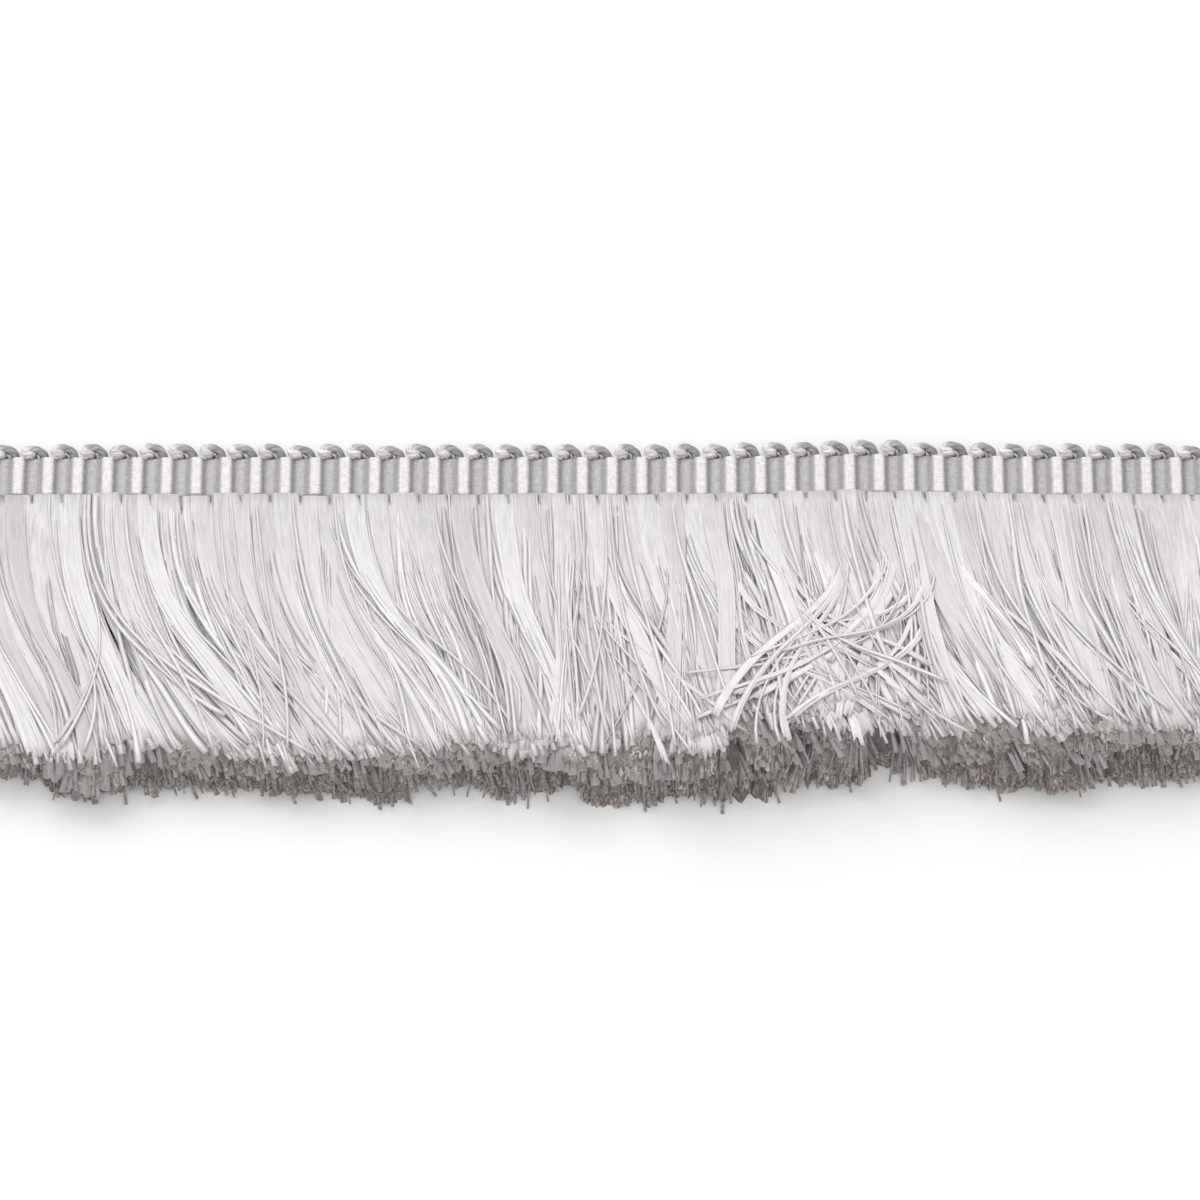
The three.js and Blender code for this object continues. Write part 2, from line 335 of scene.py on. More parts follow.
tape = {
    "samplesPerRib": 16,
    "threads": 13,  # across the face, from edge to edge
    "samplesPerThread": 3,
    "backPoints": 8,  # across the flat underside
    "valley": 1.5,  # thickness between two ribs
    "ribRise": 0.6,
    "ribSide": (0.28, 0.26),  # where a rib's side starts and how wide it is, in half ribs from the crest
    "domeRise": 0.1,  # how much thicker the ground is midway between two ribs
    "domeSide": (0.42, 0.4),
    "threadRise": 0.03,
    "lowBulge": 0.12,  # how far the ground comes down past the lower edge
    "overhang": 0.1,  # how far the upper edge comes out, and how much farther at a rib
    "ribEnd": 0.06,
    "uneven": 0.05,
    "edgeRound": 0.32,  # width of the rounding at both edges, and the share of the thickness it takes
    "edgeDrop": 0.45,
    "greys": [  # from one valley's middle over the rib, 0.5, to the next, with painted sheen and shade
        (0.0, 0.5), (0.1, 0.46), (0.17, 0.35), (0.25, 0.36), (0.3, 0.5), (0.38, 0.78),
        (0.62, 0.78), (0.69, 0.46), (0.73, 0.27), (0.81, 0.28), (0.88, 0.42), (1.0, 0.5),
    ],
    "warmth": (1.0, 0.972, 0.962),
    "wobble": (90.0, 60.0),  # grains along the tape and around it, of the ribs' uneven sides
    "weave": (150.0, 45.0),  # of the threads across the tape
    "floats": (560.0, 7.0),  # of the fine floats down it
    "finish": {"Roughness": 0.45, "Specular IOR Level": 0.5, "Sheen Weight": 0.1, "Sheen Roughness": 0.4},
}


# The heading tape is one closed section carried along X. At each x the section's ring goes over the
# face from the lower edge to the upper one and back along the flat underside:
# z = valley + ribRise * rib + domeRise * dome + threadRise * |sin(pi * threads * across)| * (1 - rib),
# rounded down at both edges, which are uneven by uneven * sin(1.7 x) * sin(0.31 x + 2).
def headingTape():
    columns = trim["ribs"] * tape["samplesPerRib"] + 1
    x = np.linspace(tapeLow[0], tapeHigh[0], columns)
    phase = ((x - tapeLow[0]) / pitch) % 1.0
    fromCrest = np.abs(phase - 0.5) * 2
    (ribStart, ribWidth), (domeStart, domeWidth) = tape["ribSide"], tape["domeSide"]
    rib = 1 - ease((fromCrest - ribStart) / ribWidth)
    dome = ease((fromCrest - domeStart) / domeWidth)
    faceCount = tape["threads"] * tape["samplesPerThread"]
    across = np.linspace(0.0, 1.0, faceCount + 1)
    thread = np.abs(np.sin(np.pi * tape["threads"] * across))
    level = tape["valley"] + tape["ribRise"] * rib + tape["domeRise"] * dome
    weave = tape["threadRise"] * thread[None, :] * (1 - rib[:, None])
    uneven = tape["uneven"] * np.sin(x * 1.7) * np.sin(x * 0.31 + 2)
    low = tapeLow[1] - tape["lowBulge"] * dome + uneven
    high = tapeHigh[1] + tape["overhang"] + tape["ribEnd"] * rib + uneven
    width = (high - low)[:, None]
    yFace = low[:, None] + width * across
    toEdge = np.minimum(across, 1 - across)[None, :] * width
    rounding = 1 - np.sqrt(np.clip(1 - (1 - np.clip(toEdge / tape["edgeRound"], 0, 1)) ** 2, 0, 1))
    zFace = level[:, None] + weave - rounding * level[:, None] * tape["edgeDrop"]
    back = np.linspace(1.0, 0.0, tape["backPoints"])
    yBack = low[:, None] + width * back
    zBack = np.zeros((columns, tape["backPoints"]))
    y = np.concatenate([yFace, yBack], 1) + bow(x)[:, None]
    z = np.concatenate([zFace, zBack], 1)
    ring = y.shape[1]
    places = np.stack([np.broadcast_to(x[:, None], y.shape), y, z], -1).reshape(-1, 3)
    quads = ringQuads(1, columns, ring).reshape(-1, 4)
    ends = endFans(columns, ring)
    u = np.arange(columns) / (columns - 1)
    v = np.arange(ring + 1) / ring
    uQuad = np.stack([u[:-1], u[1:], u[1:], u[:-1]], -1)[:, None]
    vQuad = np.stack([v[:-1], v[:-1], v[1:], v[1:]], -1)[None]
    quadMap = np.stack(np.broadcast_arrays(uQuad, vQuad), -1).reshape(-1, 4, 2)
    endMap = np.stack([0.002 + 0.996 * (ends // ring > 0), (ends % ring) / ring], -1)
    smooth = np.ones(len(quads), bool)
    return meshPiece("headingTape", places, quads, quadMap, ends, endMap, smooth, tapeMaterial())


# The heading's two yarns: satin floats over the ribs and a duller ground between them, partly their own
# two tones and partly painted light: a painted sheen on the ribs, and painted shade at the ground's sides
# next to the ribs, darker on a rib's +X side. Threads show as short fine lines along and across the tape.
def tapeMaterial():
    material, tree, shader, along, around = newMaterial("headingWeave", tape["finish"])
    rib = maths(tree, "FRACT", maths(tree, "MULTIPLY", along, float(trim["ribs"])))
    wobble = noise(tree, along, around, tape["wobble"], Detail=2.0)
    shift = maths(tree, "MULTIPLY", maths(tree, "SUBTRACT", wobble, 0.5), 0.1)
    stops = [(at, tuple(grey * c for c in tape["warmth"])) for at, grey in tape["greys"]]
    # Painted light: the rib crests are painted pale for the satin's sheen, the ground beside them dark for
    # shade.
    ground = ramp(tree, maths(tree, "ADD", rib, shift), stops)
    weave = noise(tree, along, around, tape["weave"], Detail=2.0)
    weaveTone = ramp(tree, weave, [(0.36, 0.84), (0.56, 1.0)])
    floats = noise(tree, along, around, tape["floats"], Detail=2.0)
    floatTone = ramp(tree, floats, [(0.34, 0.84), (0.62, 1.0)])
    tree.links.new(multiply(tree, ground, weaveTone, floatTone), shader.inputs["Base Color"])
    relief(tree, shader, floats, 0.3, 0.06)
    return material


cord = {
    "plies": 4,
    "wide": 1.12,  # how much wider a loop is than its middle line below
    "plyRadius": 0.35,
    "plyOut": 0.3,  # from the middle line to a ply's own
    "turnsPerLoop": 1.5,
    "widthsDiffer": 0.05,
    "heightsDiffer": 0.08,
    "steps": 30,
    "sides": 8,
    "rows": 16,
    "colour": (0.56, 0.542, 0.532),
    "groove": 0.66,  # share of the colour left between two filaments
    "shades": [  # along a loop, from its foot in front to the one behind: painted shadow, highlight, then shade
        (0.0, 0.08), (0.06, 0.2), (0.12, 1.1), (0.2, 1.5),
        (0.38, 1.5), (0.5, 1.0), (0.64, 0.66), (1.0, 0.45),
    ],
    "finish": {"Roughness": 0.32, "Specular IOR Level": 0.75, "Sheen Weight": 0.1, "Sheen Roughness": 0.35},
}
# One loop's middle line: how far across from its middle, over the tape's upper edge, and over the
# surface. It comes out in front on the left and goes down behind on the right.
loopLine = [
    (-0.05, 0.3, 1.0),
    (-0.35, 0.5, 1.75),
    (-0.95, 0.62, 2.0),
    (-1.18, 1.0, 1.95),
    (-0.65, 1.46, 1.75),
    (0.3, 1.52, 1.5),
    (1.05, 1.12, 1.25),
    (1.32, 0.5, 1.0),
    (1.1, -0.2, 0.8),
]


# A smooth line through points, by the cubic of Catmull and Rom: each stretch from p1 to p2 is
# 0.5 * (2 p1 + (p2 - p0) t + (2 p0 - 5 p1 + 4 p2 - p3) t^2 + (3 p1 - p0 - 3 p2 + p3) t^3).
def smoothLine(points, count):
    points = np.array(points, float)
    padded = np.concatenate([2 * points[:1] - points[1:2], points, 2 * points[-1:] - points[-2:-1]])
    place = np.linspace(0, len(points) - 1, count)
    index = np.minimum(place.astype(int), len(points) - 2)
    t = (place - index)[:, None]
    p0, p1, p2, p3 = (padded[index + k] for k in range(4))
    return 0.5 * (
        2 * p1 + (p2 - p0) * t + (2 * p0 - 5 * p1 + 4 * p2 - p3) * t**2 + (3 * p1 - p0 - 3 * p2 + p3) * t**3
    )


# The loop cord: over each valley one loop, of plies that wind around its middle line as
# line + plyOut * (cos(turn) * normal + sin(turn) * binormal).
def loopCord():
    draw = np.random.default_rng(11)
    line = smoothLine(loopLine, cord["steps"])
    forward = np.gradient(line, axis=0)
    forward /= np.linalg.norm(forward, axis=1, keepdims=True)
    normal = np.cross(forward, [0.0, 0.0, 1.0])
    normal /= np.linalg.norm(normal, axis=1, keepdims=True)
    binormal = np.cross(normal, forward)
    loops = trim["ribs"] - 1
    middle = tapeLow[0] + pitch * (1 + np.arange(loops))
    wide = 1 + draw.normal(0, cord["widthsDiffer"], loops)
    tall = 1 + draw.normal(0, cord["heightsDiffer"], loops)
    start = draw.uniform(0, 2 * np.pi, loops)
    turn = start[:, None, None] + 2 * np.pi * (
        np.arange(cord["plies"])[None, :, None] / cord["plies"]
        + cord["turnsPerLoop"] * np.linspace(0, 1, cord["steps"])[None, None, :]
    )
    middleLine = np.repeat(line[None], loops, axis=0)
    middleLine[:, :, 0] = middleLine[:, :, 0] * cord["wide"] * wide[:, None] + middle[:, None]
    middleLine[:, :, 1] = middleLine[:, :, 1] * tall[:, None] + tapeHigh[1] + bow(middle)[:, None]
    wind = np.cos(turn)[..., None] * normal + np.sin(turn)[..., None] * binormal
    plies = (middleLine[:, None] + cord["plyOut"] * wind).reshape(-1, cord["steps"], 3)
    radii = np.full(plies.shape[:2], cord["plyRadius"])
    rows = draw.integers(0, cord["rows"], len(plies))
    arrays = tubeArrays(plies, radii, cord["sides"], 0.0, cord["sides"], 1.0, rows, cord["rows"])
    return meshPiece("loopCord", *arrays, cordMaterial())


# The cord's plies: pale, with filaments that run along them, and each a little different by chance.
# Along each loop they are painted dark at the front foot for its shadow, paler over the left limb for a
# highlight, and darker over the right limb for its shade.
def cordMaterial():
    material, tree, shader, along, around = newMaterial("cordPly", cord["finish"])
    filaments = noise(tree, along, around, (6.0, cord["rows"] * 14.0), Detail=3.0, Roughness=0.6)
    darker = tuple(c * cord["groove"] for c in cord["colour"])
    tone = ramp(tree, filaments, [(0.38, darker), (0.6, cord["colour"])])
    # Painted light and shade along each loop: shadow at the foot, highlight on the left, shade on the
    # right.
    shaded = ramp(tree, along, cord["shades"])
    chance = noise(tree, along, around, (2.5, cord["rows"] * 0.9), Detail=1.0)
    plyTone = ramp(tree, chance, [(0.36, 0.74), (0.62, 1.12)])
    tree.links.new(multiply(tree, tone, shaded, plyTone), shader.inputs["Base Color"])
    relief(tree, shader, filaments, 0.5, 0.08)
    return material


# How the brush lies along the trim, at places x: reach is how far the bottom strands come past the
# heading, setback how much shorter the top ones end, height the thickness at the tips, and the leans
# are the strands' directions from straight down towards +X, at these shares of their length.
stations = {
    "x": [-91, -77, -63, -49, -35, -21, -7, 7, 21, 28, 35, 49, 56, 63, 77, 91],
    "reach": [
        42.6, 41.6, 44.4, 43.4, 44.0, 44.4, 43.2, 45.2,
        46.4, 46.0, 42.4, 41.7, 43.8, 44.2, 41.9, 42.1,
    ],
    "setback": [1.6, 0.9, 1.6, 2.8, 1.8, 3.0, 3.0, 4.2, 6.2, 7.6, 5.4, 3.6, 5.4, 5.8, 4.0, 3.6],
    "height": [7.0, 7.0, 7.0, 7.4, 7.0, 8.4, 8.4, 8.8, 12.0, 12.0, 12.0, 8.4, 10.0, 11.6, 10.8, 8.8],
    "leanAt": [0.0, 0.3, 0.6, 0.9],
    "lean": [
        [-2, -1, 0, 2, 4, 2, 4, 3, 1, 2, 2, 6, 5, 4, 6, 4],
        [8, 9, 11, 14, 10, 13, 3, 5, 14, 13, 11, 15, 12, 8, 10, 6],
        [23, 28, 27, 32, 24, 32, 15, 8, 10, 9, 8, 22, 23, 25, 20, 9],
        [13, 20, 18, 30, 26, 19, 11, 2, 12, 16, 22, 26, 26, 25, 22, 10],
    ],
}
brush = {
    "rootLevel": (0.2, 2.3),  # lowest and highest root over the surface
    "rootUneven": 0.28,
    "usualLength": 46.0,
    "radius": (0.18, 0.5),
    "uneven": 0.25,  # how much a strand's width changes along it
    "flat": 0.1,  # a strand's height next to its width
    "poke": 0.5,  # how far the inner strands come out of the matted floss
    "notchWidth": 0.3,
    "notchDepth": 0.45,
    "lockPitch": 1.5,
    "flare": 0.3,  # how much tufts and locks fan at their ends
    "roundness": 0.2,  # how much lower the sides of a tuft lie than its middle
}
usualLayer = {
    "steps": 11,  # rings along a strand
    "inside": 1.0,  # how deep inside the layer its strands may lie
    "stray": 1.0,  # how much its tufts and strands differ, next to the values below
    "bundle": 1.0,  # what share of a rib's width their roots fill
    "point": 0.8,  # how much longer the middle of a lock is than its sides
    "spread": 0.4,  # how much a strand widens at its cut end
    "loose": 0.5,  # how far strands rise from the matted floss
    "wide": 0.6,  # how thick they are next to the radius above
    "body": 1.25,  # width of a tuft's matted floss next to the tufts' distance
    "columns": 24,  # points across it
    "shorter": 0.2,  # how much sooner it ends
    "floss": "back",  # whose shades it takes
}
# The brush's layers from the back to the front, where they differ from the usual one. depth is where
# they lie from the back, 0, to the front, 1; tufts are this far apart; lean is how much of the
# stations' lean they take.
layers = [
    {"name": "brushBack", "strands": 800, "depth": (0.0, 0.2), "tuft": 5.5, "lean": 0.5,
     "point": 1.6, "spread": 0.5},
    {"name": "brushLower", "strands": 1000, "depth": (0.2, 0.44), "tuft": 5.0, "lean": 0.6,
     "point": 1.0},
    {"name": "brushMiddle", "strands": 1000, "depth": (0.46, 0.76), "tuft": 5.0, "lean": 0.75,
     "loose": 0.15, "wide": 0.9, "floss": "inner"},
    {"name": "brushUpper", "strands": 800, "depth": (0.74, 0.93), "tuft": 4.6, "lean": 0.9,
     "steps": 13, "inside": 0.6, "bundle": 0.93, "spread": 0.6, "loose": 0.06, "wide": 1.1,
     "body": 1.35, "shorter": 0.5, "floss": "inner"},
    {"name": "brushFront", "strands": 560, "depth": (0.87, 0.93), "tuft": 4.2, "lean": 1.0,
     "steps": 20, "inside": 0.0, "bundle": 0.9, "point": 0.5, "spread": 0.3, "loose": 0.08,
     "wide": 0.9, "body": 1.3, "columns": 28, "shorter": 0.7, "floss": "front"},
    {"name": "brushOver", "strands": 260, "depth": (0.9, 0.955), "tuft": 5.2, "lean": 1.0,
     "steps": 20, "inside": 0.0, "stray": 1.3, "bundle": 0.88, "point": 0.5, "spread": 0.2,
     "loose": 0.09, "wide": 0.9, "body": 0.55, "columns": 18, "shorter": 0.9, "floss": "front"},
]
# How tufts differ from the stations, locks from their tuft and strands from their lock: the spread of
# their leans, curls, lengths, heights and tones. squeeze is the share of its width that a tuft or a
# lock keeps lower down, wander and dips are a strand's waves sideways and in and out of the floss.
tufting = {"lean": 4.0, "curl": 5.0, "squeeze": (0.55, 0.95), "longer": 1.0, "lift": 0.2, "tone": 0.17}
locking = {"lean": 2.0, "curl": 3.6, "squeeze": (0.4, 0.85), "longer": 0.5, "lift": 0.04, "tone": 0.12}
single = {"lean": 1.1, "curl": 2.0, "longer": 0.4, "wander": 0.2, "lift": 0.05, "dips": 2.2, "tone": 0.24}
# The matted bodies of the tufts, which their loose strands lie in and on.
matting = {
    "rows": 24,  # shades of floss
    "ragged": 0.42,  # how uneven their ends are
    "ridges": (0.012, 0.05),  # height of their filaments at the root and at the tip
    "sway": 0.3,  # how far these sway sideways
    "sunk": 0.16,  # how deep strands sink into them at the root
}


# A station's value at x, straight between the stations.
def alongTrim(x, column):
    return np.interp(x, stations["x"], stations[column])


# The lean of the brush at x and at a share t of a strand's length, straight between the knots.
def leanField(x, t):
    knots = np.stack([np.interp(x, stations["x"], lean) for lean in stations["lean"]], -1)
    place = np.clip(np.interp(t, stations["leanAt"], range(4)), 0, 3)
    index = min(int(place), 2)
    share = place - index
    return knots[..., index] * (1 - share) + knots[..., index + 1] * share


# The brush's thickness at x, down past the heading: root + (tips - root) * (down / length)^0.8.
def brushHeight(x, down):
    share = np.clip(down / brush["usualLength"], 0, 1) ** 0.8
    low = brush["rootLevel"][1] + 0.1
    return low + (alongTrim(x, "height") - low) * share


# Each group's middle line, as sideways place and distance down, for (groups, steps). It is walked in
# equal steps along the leaning direction: x += sin(lean) * step, down += cos(lean) * step, then
# stretched to end where the brush does there.
def walkLines(groups, steps, leanShare):
    x = groups["x"].copy()
    down = np.zeros_like(x)
    walkX, walkDown = [x.copy()], [down.copy()]
    stride = brush["usualLength"] / (steps - 1)
    for k in range(1, steps):
        t = (k - 0.5) / (steps - 1)
        lean = leanField(x, t) * leanShare + groups["lean"] * ease(t / 0.5)
        lean = lean + groups["curl"] * (2 * t - 0.9) * t
        x = x + np.sin(np.radians(lean)) * stride
        down = down + np.cos(np.radians(lean)) * stride
        walkX.append(x)
        walkDown.append(down)
    walkX, walkDown = np.stack(walkX, 1), np.stack(walkDown, 1)
    wanted = alongTrim(walkX[:, -1], "reach") - alongTrim(walkX[:, -1], "setback") * groups["depth"]
    scale = ((wanted + groups["longer"]) / walkDown[:, -1])[:, None]
    return groups["x"][:, None] + (walkX - groups["x"][:, None]) * scale, walkDown * scale


# Groups of strands side by side along the trim, each with its own differences from the usual.
def makeGroups(spacing, spread, scale, draw):
    length = tapeHigh[0] - tapeLow[0]
    count = int(length / spacing)
    places = (np.arange(count) + 0.5 + draw.uniform(-0.35, 0.35, count)) / count
    groups = {"x": tapeLow[0] + length * places, "squeeze": draw.uniform(*spread["squeeze"], count)}
    for key in ("lean", "curl", "longer", "lift", "tone"):
        groups[key] = draw.normal(0, spread[key] * scale, count)
    return groups


# The group that each place is nearest to, with some spread so that neighbours mingle.
def nearest(places, groups, spread, draw):
    distance = np.abs(places[:, None] - groups["x"][None])
    return (distance + draw.normal(0, spread, distance.shape)).argmin(1)


# How wide groups still are at t, drawn together until by and then fanned, so many times the flare:
# 1 + (squeeze - 1) * ease(t / by) + times * flare * ease((t - 0.7) / 0.3).
def narrowing(groups, t, by, times):
    fan = brush["flare"] * ease((t - 0.7) / 0.3)
    return 1 + (groups["squeeze"][:, None] - 1) * ease(t / by) + times * fan


# One layer's tufts with their middle lines and how wide they stay.
def layerTufts(layer, draw):
    t = np.linspace(0, 1, layer["steps"])[None]
    tufts = makeGroups(layer["tuft"], tufting, layer["stray"], draw)
    tufts["depth"] = np.full(len(tufts["x"]), np.mean(layer["depth"]))
    tufts["lineX"], tufts["lineDown"] = walkLines(tufts, layer["steps"], layer["lean"])
    tufts["narrowing"] = narrowing(tufts, t, 0.7, 1)
    return tufts


# One layer's locks with their middle lines. A lock keeps its place in its tuft:
# x = tuft line + (lock - tuft) * narrowing(t) + down * tan(own lean).
def layerLocks(layer, tufts, draw):
    t = np.linspace(0, 1, layer["steps"])[None]
    locks = makeGroups(brush["lockPitch"], locking, layer["stray"], draw)
    tuft = nearest(locks["x"], tufts, layer["tuft"] * 0.1, draw)
    fromTuft = locks["x"] - tufts["x"][tuft]
    own = np.tan(np.radians(locks["lean"][:, None] + locks["curl"][:, None] * (t - 0.4)))
    line = tufts["lineX"][tuft] + fromTuft[:, None] * tufts["narrowing"][tuft]
    locks["lineX"] = line + tufts["lineDown"][tuft] * ease(t * 1.2) * own
    locks["lineDown"] = tufts["lineDown"][tuft] * (1 + locks["longer"][:, None] / brush["usualLength"])
    locks["narrowing"] = narrowing(locks, t, 0.5, 2)
    locks["side"] = fromTuft / (layer["tuft"] / 2)
    locks["lift"] = locks["lift"] + tufts["lift"][tuft]
    locks["tone"] = locks["tone"] + tufts["tone"][tuft]
    return locks


# The height of a strand: its depth's share of the brush's thickness at x and down, lifted with its
# lock, and less at the sides of its tuft: level + depth * (thickness - level) + lift * sin(pi * t^1.2)
# - roundness * side^2. At the heading there is a notch between two ribs' bundles.
def strandLevel(x, down, depth, lift, side, t):
    low = brush["rootLevel"][0]
    z = low + depth * (brushHeight(x, down) - low - 0.1)
    z = z + lift * np.sin(np.pi * t**1.2) * (0.4 + depth)
    z = z - brush["roundness"] * np.clip(side**2, 0, 1.6) * ease(t / 0.5)
    fromValley = pitch * (((x - tapeLow[0]) / pitch + 0.5) % 1.0 - 0.5)
    notch = np.exp(-((fromValley / brush["notchWidth"]) ** 2)) * (1 - ease(down / 1.4))
    return z * (1 - brush["notchDepth"] * notch)


# The share of the brush's thickness at which a layer's matted bodies have their upper face.
def bodyDepth(layer):
    low, high = layer["depth"]
    return low + 0.7 * (high - low)


# The strands' radii, (strands, steps): more thin ones than thick ones, wavering along the strand:
# (thin + (thick - thin) * chance^1.5) * (1 + uneven * sin(2 pi * cycles * t + phase)).
def strandRadii(count, steps, draw):
    t = np.linspace(0, 1, steps)[None]
    thin, thick = brush["radius"]
    cycles, phase = draw.uniform(0.5, 2.5, (count, 1)), draw.uniform(0, 2 * np.pi, (count, 1))
    waver = 1 + brush["uneven"] * np.sin(2 * np.pi * cycles * t + phase)
    return (thin + (thick - thin) * draw.uniform(0, 1, (count, 1)) ** 1.5) * waver


# The strands of one layer, as paths (strands, steps, 3) with their radii and tones. A strand keeps its
# place in its lock: x = lock line + (root - lock) * narrowing(t) + down * tan(own lean) + wander. It
# may lie deeper in the layer, where the cut ends come out farther, and it waves in and out of the
# floss: z = level + loose * ease(t / 0.6) + lift * sin(2 pi * dips * t) - sunk * (1 - ease(t / 0.55)).
def strandPaths(layer, locks, draw):
    count, steps = layer["strands"], layer["steps"]
    t = np.linspace(0, 1, steps)[None]
    rib = draw.integers(0, trim["ribs"], count)
    inBundle = draw.uniform(-0.5, 0.5, count)
    rootX = tapeLow[0] + pitch * (rib + 0.5 + inBundle * layer["bundle"])
    lock = nearest(rootX, locks, brush["lockPitch"] * 0.12, draw)
    fromLock = rootX - locks["x"][lock]
    down = locks["lineDown"][lock]
    own = draw.normal(0, single["lean"], (count, 1)) + draw.normal(0, single["curl"], (count, 1)) * t**2
    cycles, phase = draw.uniform(0.6, 1.8, (2, count, 1)), draw.uniform(0, 2 * np.pi, (2, count, 1))
    waves = np.sin(2 * np.pi * cycles * t + phase) - np.sin(phase)
    dips = np.sin(2 * np.pi * cycles[1] * single["dips"] * t + phase[1])
    x = locks["lineX"][lock] + fromLock[:, None] * locks["narrowing"][lock]
    x = x + down * ease(t * 1.2) * np.tan(np.radians(own * layer["stray"]))
    x = x + single["wander"] * ease(t / 0.6) * waves[0]
    fromSide = layer["point"] * np.abs(2 * fromLock / brush["lockPitch"])
    longer = draw.normal(0, single["longer"], count) - fromSide
    down = down * (1 + (longer + layer["point"] / 2)[:, None] / brush["usualLength"])
    low, high = layer["depth"]
    deeper = layer["inside"] * draw.uniform(0, 0.9, (count, 1)) * (high - low)
    down = down + (deeper * alongTrim(x, "setback") + brush["poke"] * layer["inside"]) * t
    depth = bodyDepth(layer) - deeper * ease(t / 0.5)
    z = strandLevel(x, down, depth, locks["lift"][lock][:, None], locks["side"][lock][:, None], t)
    z = z + draw.uniform(-0.04, layer["loose"], (count, 1)) * ease(t / 0.6)
    z = z + single["lift"] * ease(t / 0.3) * dips - matting["sunk"] * (1 - ease(t / 0.55))
    radius = strandRadii(count, steps, draw) * layer["wide"]
    y = rootY(rib)[:, None] - down + bow(x)
    tone = locks["tone"][lock] + draw.normal(0, single["tone"], count)
    return np.stack([x, y, np.maximum(z, radius * brush["flat"] * 2.0 + 0.03)], -1), radius, tone


# The uneven ends of a body's columns: chance lengths, each evened out with the ones beside it.
def raggedEnds(count, columns, draw):
    chance = draw.normal(0, matting["ragged"], (count, 1, columns + 2))
    return 0.8 * chance[:, :, 1:-1] + 0.4 * chance[:, :, :-2] + 0.4 * chance[:, :, 2:]


# The upper and under face of flat bodies around middle lines. A column's place across goes with
# side, from -1 to 1: x = line + half width * side + sway; z = level + ridges, and the under face lies
# under that by thick * (1 - |side|^(4 - 2 t)) and ends slant farther down.
def bodyFaces(lineX, lineDown, halfWidth, level, thick, slant, columns, shorter, draw):
    count, steps = lineX.shape
    t = np.linspace(0, 1, steps)[None, :, None]
    side = np.linspace(-1, 1, columns)[None, None]
    phase = draw.uniform(0, 2 * np.pi, (2, count, 1, 1))
    sway = np.sin(2.6 * side + 2.0 * t + phase[0]) - np.sin(phase[0])
    x = lineX[:, :, None] + halfWidth[:, :, None] * (side + matting["sway"] * 0.5 * ease(t / 0.5) * sway)
    down = lineDown[:, :, None] * (1 + (raggedEnds(count, columns, draw) - shorter) / brush["usualLength"])
    ridge = draw.normal(0, 1, (2, count, 1, columns))
    low, high = matting["ridges"]
    ridges = (low + (high - low) * ease(t / 0.5)) * (ridge[0] * (1 - t) + ridge[1] * t)
    z = level(x, down, side, t) + ridges
    rib = np.floor((x - tapeLow[0]) / pitch)
    y = tapeLow[1] + 0.05 + (rootY(rib) - tapeLow[1]) * (1 - ease(down / 2.5)) - down + bow(x)
    top = np.stack([x, y, np.maximum(z, 0.12)], -1)
    deep = np.maximum(top[..., 2] - 0.08 - thick(x, down) * (1 - np.abs(side) ** (4 - 2 * t)), 0.02)
    return top, np.stack([x, y - slant * t**6, deep], -1)


# The matted bodies of one layer's tufts, with their tones. Each is body * (0.4 + 0.6 * narrowing)
# times as wide as the tufts' distance, and fills the layer's share of the brush's thickness.
def tuftBodies(layer, tufts, draw):
    low, high = layer["depth"]
    halfWidth = 0.5 * layer["tuft"] * layer["body"] * (0.4 + 0.6 * tufts["narrowing"])
    lift = tufts["lift"][:, None, None]

    def level(x, down, side, t):
        return strandLevel(x, down, bodyDepth(layer), lift, side * layer["body"], t)

    def thick(x, down):
        return (high - low) * (brushHeight(x, down) - 0.5)

    line = tufts["lineX"], tufts["lineDown"]
    slant = (high - low) * alongTrim(tufts["lineX"][:, -1], "setback")[:, None, None]
    faces = bodyFaces(*line, halfWidth, level, thick, slant, layer["columns"], layer["shorter"], draw)
    return *faces, tufts["tone"] + draw.normal(0, 0.05, len(tufts["tone"]))


# Where a rib's strands come out past the tape's lower edge, a little uneven from rib to rib:
# edge + uneven * sin(2.3 * rib) * cos(rib).
def rootY(rib):
    return tapeLow[1] + brush["rootUneven"] * (np.sin(2.3 * rib) * np.cos(1.0 * rib) + 0.3)


sweeping = {
    "steps": 20,
    "turn": 5.0,  # how much strands and ribbons turn off their tuft's line, evenly and towards the tip
    "curl": 8.0,
    "strandLonger": (0.0, 0.06),  # usual share more of the tuft's length, and its spread
    "ribbonLonger": (-0.03, 0.08),
    "ribbons": 0.9,  # for each millimetre of a tuft's width, after the first ribbon
    "ribbonWidth": (0.4, 0.25),  # half of it: at least, and more for each millimetre of the tuft's width
    "ribbonSizes": (0.3, 0.9),
    "ribbonThick": 0.12,
    "columns": 10,
    "shorter": 0.5,
    "under": 0.95,  # how far under the brush's thickness they start
    "wide": 0.5,
    "spread": 0.2,
    "strandTone": (0.2, 0.15),
    "ribbonTone": (0.22, 0.14),
}
